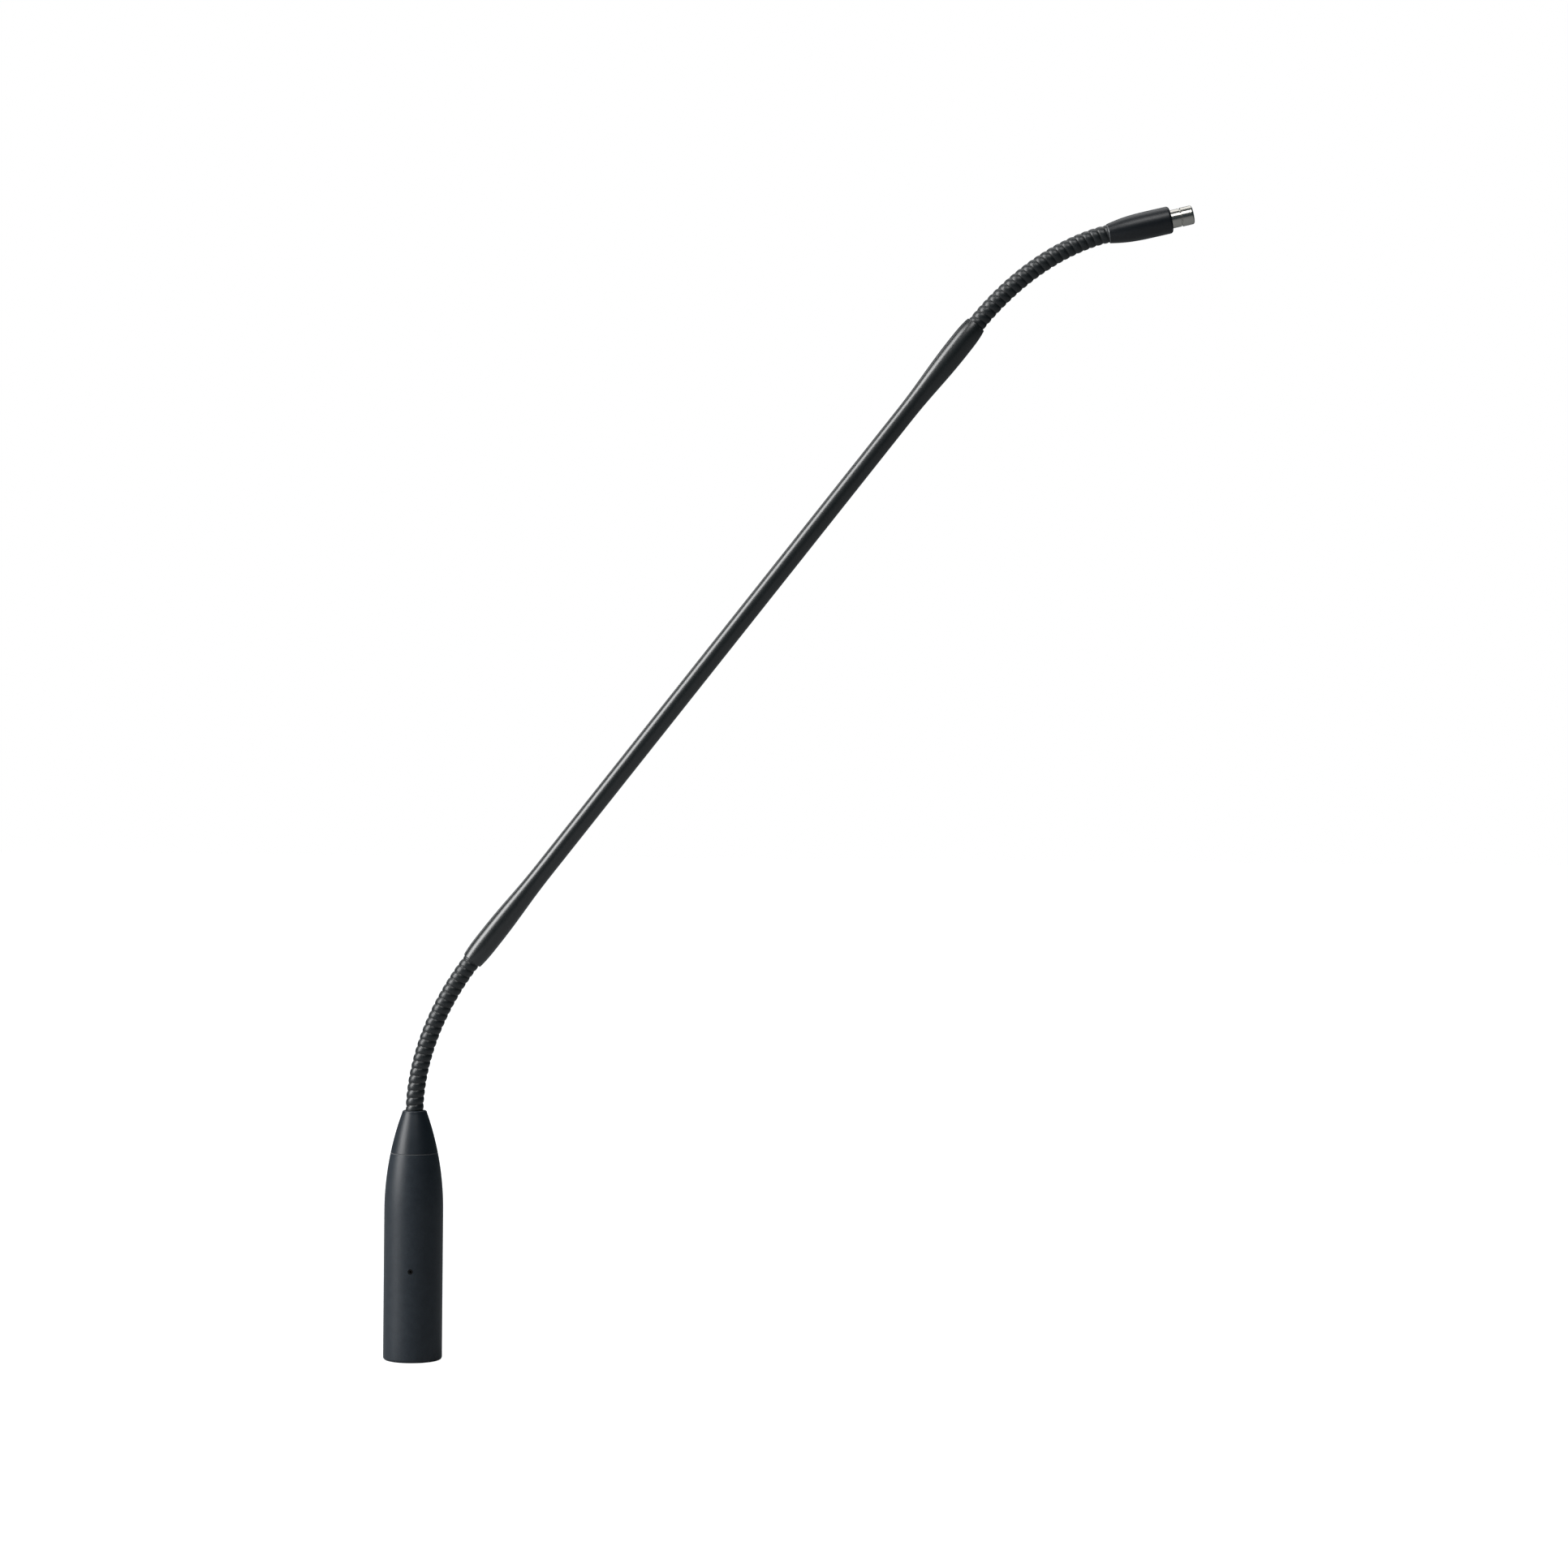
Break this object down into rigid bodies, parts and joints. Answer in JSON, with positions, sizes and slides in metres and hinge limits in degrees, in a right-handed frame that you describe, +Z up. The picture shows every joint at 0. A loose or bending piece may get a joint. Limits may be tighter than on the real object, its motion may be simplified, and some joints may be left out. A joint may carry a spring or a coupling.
{
  "type": "gooseneck podium microphone",
  "caption": "Slim gooseneck podium microphone: XLR plug housing, bendable sections at each end of a rigid stem, and a small metal condenser capsule at the tip.",
  "frame": {"origin": "on the plug axis, where the full-diameter wall of the plug shell begins, 1 mm above its rounded rim", "axes": "+Z up the plug axis; +X towards the side that the neck leans to, so the whole neck lies in the XZ plane at rest; the side with the lock screw faces -Y and the latch window faces +Y"},
  "size_m": [0.2587, 0.019, 0.3745],
  "materials": {
    "housing_black": "matt anthracite anodised aluminium, fine bead-blasted texture",
    "stem_black": "satin-gloss black lacquer on a slim metal tube",
    "flex_black": "soft black lacquer on wound steel turns",
    "holder_black": "satin black, slightly softer than the stem",
    "capsule_nickel": "turned and nickel plated",
    "insert_plastic": "black moulded insulation",
    "contact_silver": "silver plated brass",
    "plain_steel": "plain steel",
    "board_laminate": "green glass-fibre laminate",
    "component_black": "black moulded component bodies",
    "capacitor_can": "plain aluminium cans",
    "ferrite_grey": "dark grey ferrite",
    "sleeve_film": "pale insulating sleeve",
    "tinned_copper": "tinned copper",
    "cable_jacket": "thin black cable jacket",
    "capsule_brass": "plain brass",
    "capsule_insulator": "natural moulded insulation",
    "diaphragm_film": "metallised film",
    "screen_cloth": "thin black acoustic cloth"
  },
  "bodies": {
    "root": {"plug_housing": "housing_black", "nose_cap": "housing_black", "flex_ring_nut": "plain_steel", "lower_flex_ferrule": "flex_black", "xlr_insert": "insert_plastic", "contact_pin_1": "contact_silver", "contact_pin_2": "contact_silver", "contact_pin_3": "contact_silver", "ground_spring": "plain_steel", "lock_screw": "plain_steel", "board_sleeve": "sleeve_film", "preamp_board": "board_laminate", "board_capacitors": "capacitor_can", "board_chips": "component_black", "output_transistors": "component_black", "rf_choke": "ferrite_grey", "pin_leads": "tinned_copper", "cable_cores": "tinned_copper", "cable_clamp": "tinned_copper", "signal_cable": "cable_jacket"},
    "lower_link_01": {"lower_flex_link_01": "flex_black"},
    "lower_link_02": {"lower_flex_link_02": "flex_black"},
    "lower_link_03": {"lower_flex_link_03": "flex_black"},
    "lower_link_04": {"lower_flex_link_04": "flex_black"},
    "lower_link_05": {"lower_flex_link_05": "flex_black"},
    "lower_link_06": {"lower_flex_link_06": "flex_black"},
    "lower_link_07": {"lower_flex_link_07": "flex_black"},
    "lower_link_08": {"lower_flex_link_08": "flex_black"},
    "lower_link_09": {"lower_flex_link_09": "flex_black"},
    "lower_link_10": {"lower_flex_link_10": "flex_black"},
    "stem": {"stem_tube": "stem_black", "lower_stem_ferrule": "flex_black", "upper_stem_ferrule": "flex_black"},
    "upper_link_01": {"upper_flex_link_01": "flex_black"},
    "upper_link_02": {"upper_flex_link_02": "flex_black"},
    "upper_link_03": {"upper_flex_link_03": "flex_black"},
    "upper_link_04": {"upper_flex_link_04": "flex_black"},
    "upper_link_05": {"upper_flex_link_05": "flex_black"},
    "upper_link_06": {"upper_flex_link_06": "flex_black"},
    "upper_link_07": {"upper_flex_link_07": "flex_black"},
    "upper_link_08": {"upper_flex_link_08": "flex_black"},
    "upper_link_09": {"upper_flex_link_09": "flex_black"},
    "upper_link_10": {"upper_flex_link_10": "flex_black"},
    "head": {"head_holder": "holder_black", "head_ferrule": "flex_black", "contact_board": "board_laminate", "signal_contact": "contact_silver", "contact_bush": "insert_plastic", "capsule_collar": "capsule_nickel", "capsule_can": "capsule_nickel", "capsule_board": "board_laminate", "capsule_fet": "component_black", "backplate": "capsule_brass", "backplate_cup": "capsule_insulator", "spacer_ring": "capsule_brass", "diaphragm": "diaphragm_film", "diaphragm_ring": "capsule_brass", "dust_screen": "screen_cloth"}
  },
  "joints": [
    {"name": "lower_bend_1", "type": "hinge", "parent": "root", "child": "lower_link_01", "pos_m": [0, 0, 0.08179], "axis": [0.001, 1, 0.0005], "range_deg": [-15.48, 2.85], "deforming": ["signal_cable"]},
    {"name": "lower_sway_1", "type": "hinge", "parent": "lower_link_01", "child": "lower_link_02", "pos_m": [0.00045, 0, 0.08654], "axis": [0.992, 0, -0.1264], "range_deg": [-11, 11]},
    {"name": "lower_bend_2", "type": "hinge", "parent": "lower_link_02", "child": "lower_link_03", "pos_m": [0.0012, 0, 0.09125], "axis": [0.001, 1, 0.0005], "range_deg": [-15.48, 2.85]},
    {"name": "lower_sway_2", "type": "hinge", "parent": "lower_link_03", "child": "lower_link_04", "pos_m": [0.00226, 0, 0.09591], "axis": [0.9684, 0, -0.2496], "range_deg": [-11, 11]},
    {"name": "lower_bend_3", "type": "hinge", "parent": "lower_link_04", "child": "lower_link_05", "pos_m": [0.00359, 0, 0.10049], "axis": [0.001, 1, 0.0005], "range_deg": [-15.48, 2.85]},
    {"name": "lower_sway_3", "type": "hinge", "parent": "lower_link_05", "child": "lower_link_06", "pos_m": [0.00518, 0, 0.10499], "axis": [0.9327, 0, -0.3606], "range_deg": [-11, 11]},
    {"name": "lower_bend_4", "type": "hinge", "parent": "lower_link_06", "child": "lower_link_07", "pos_m": [0.00703, 0, 0.10939], "axis": [0.001, 1, 0.0005], "range_deg": [-15.48, 2.85]},
    {"name": "lower_sway_4", "type": "hinge", "parent": "lower_link_07", "child": "lower_link_08", "pos_m": [0.00911, 0, 0.11368], "axis": [0.8886, 0, -0.4587], "range_deg": [-11, 11]},
    {"name": "lower_bend_5", "type": "hinge", "parent": "lower_link_08", "child": "lower_link_09", "pos_m": [0.0114, 0, 0.11787], "axis": [0.001, 1, 0.0005], "range_deg": [-15.48, 2.85]},
    {"name": "lower_sway_5", "type": "hinge", "parent": "lower_link_09", "child": "lower_link_10", "pos_m": [0.01391, 0, 0.12193], "axis": [0.8391, 0, -0.544], "range_deg": [-11, 11]},
    {"name": "lower_bend_6", "type": "hinge", "parent": "lower_link_10", "child": "stem", "pos_m": [0.01659, 0, 0.12588], "axis": [0.001, 1, 0.0005], "range_deg": [-15.48, 2.85]},
    {"name": "upper_bend_1", "type": "hinge", "parent": "stem", "child": "upper_link_01", "pos_m": [0.18047, 0, 0.33639], "axis": [0.001, 1, 0.0005], "range_deg": [-15.63, 2.7]},
    {"name": "upper_sway_1", "type": "hinge", "parent": "upper_link_01", "child": "upper_link_02", "pos_m": [0.18362, 0, 0.33999], "axis": [0.7388, 0, -0.6739], "range_deg": [-11, 11]},
    {"name": "upper_bend_2", "type": "hinge", "parent": "upper_link_02", "child": "upper_link_03", "pos_m": [0.18692, 0, 0.34345], "axis": [0.001, 1, 0.0005], "range_deg": [-15.63, 2.7]},
    {"name": "upper_sway_2", "type": "hinge", "parent": "upper_link_03", "child": "upper_link_04", "pos_m": [0.19037, 0, 0.34675], "axis": [0.6722, 0, -0.7404], "range_deg": [-11, 11]},
    {"name": "upper_bend_3", "type": "hinge", "parent": "upper_link_04", "child": "upper_link_05", "pos_m": [0.19399, 0, 0.34988], "axis": [0.001, 1, 0.0005], "range_deg": [-15.63, 2.7]},
    {"name": "upper_sway_3", "type": "hinge", "parent": "upper_link_05", "child": "upper_link_06", "pos_m": [0.19778, 0, 0.3528], "axis": [0.5885, 0, -0.8085], "range_deg": [-11, 11]},
    {"name": "upper_bend_4", "type": "hinge", "parent": "upper_link_06", "child": "upper_link_07", "pos_m": [0.20172, 0, 0.3555], "axis": [0.001, 1, 0.0005], "range_deg": [-15.63, 2.7]},
    {"name": "upper_sway_4", "type": "hinge", "parent": "upper_link_07", "child": "upper_link_08", "pos_m": [0.20583, 0, 0.35796], "axis": [0.4861, 0, -0.8739], "range_deg": [-11, 11]},
    {"name": "upper_bend_5", "type": "hinge", "parent": "upper_link_08", "child": "upper_link_09", "pos_m": [0.21008, 0, 0.36015], "axis": [0.001, 1, 0.0005], "range_deg": [-15.63, 2.7]},
    {"name": "upper_sway_5", "type": "hinge", "parent": "upper_link_09", "child": "upper_link_10", "pos_m": [0.21447, 0, 0.36205], "axis": [0.3636, 0, -0.9315], "range_deg": [-11, 11]},
    {"name": "upper_bend_6", "type": "hinge", "parent": "upper_link_10", "child": "head", "pos_m": [0.21898, 0, 0.36362], "axis": [0.001, 1, 0.0005], "range_deg": [-15.63, 2.7]}
  ],
  "couplings": [
    {"joint": "lower_bend_2", "follows": "lower_bend_1", "ratio": 1},
    {"joint": "lower_sway_2", "follows": "lower_sway_1", "ratio": 1},
    {"joint": "lower_bend_3", "follows": "lower_bend_1", "ratio": 1},
    {"joint": "lower_sway_3", "follows": "lower_sway_1", "ratio": 1},
    {"joint": "lower_bend_4", "follows": "lower_bend_1", "ratio": 1},
    {"joint": "lower_sway_4", "follows": "lower_sway_1", "ratio": 1},
    {"joint": "lower_bend_5", "follows": "lower_bend_1", "ratio": 1},
    {"joint": "lower_sway_5", "follows": "lower_sway_1", "ratio": 1},
    {"joint": "lower_bend_6", "follows": "lower_bend_1", "ratio": 1},
    {"joint": "upper_bend_2", "follows": "upper_bend_1", "ratio": 1},
    {"joint": "upper_sway_2", "follows": "upper_sway_1", "ratio": 1},
    {"joint": "upper_bend_3", "follows": "upper_bend_1", "ratio": 1},
    {"joint": "upper_sway_3", "follows": "upper_sway_1", "ratio": 1},
    {"joint": "upper_bend_4", "follows": "upper_bend_1", "ratio": 1},
    {"joint": "upper_sway_4", "follows": "upper_sway_1", "ratio": 1},
    {"joint": "upper_bend_5", "follows": "upper_bend_1", "ratio": 1},
    {"joint": "upper_sway_5", "follows": "upper_sway_1", "ratio": 1},
    {"joint": "upper_bend_6", "follows": "upper_bend_1", "ratio": 1}
  ]
}
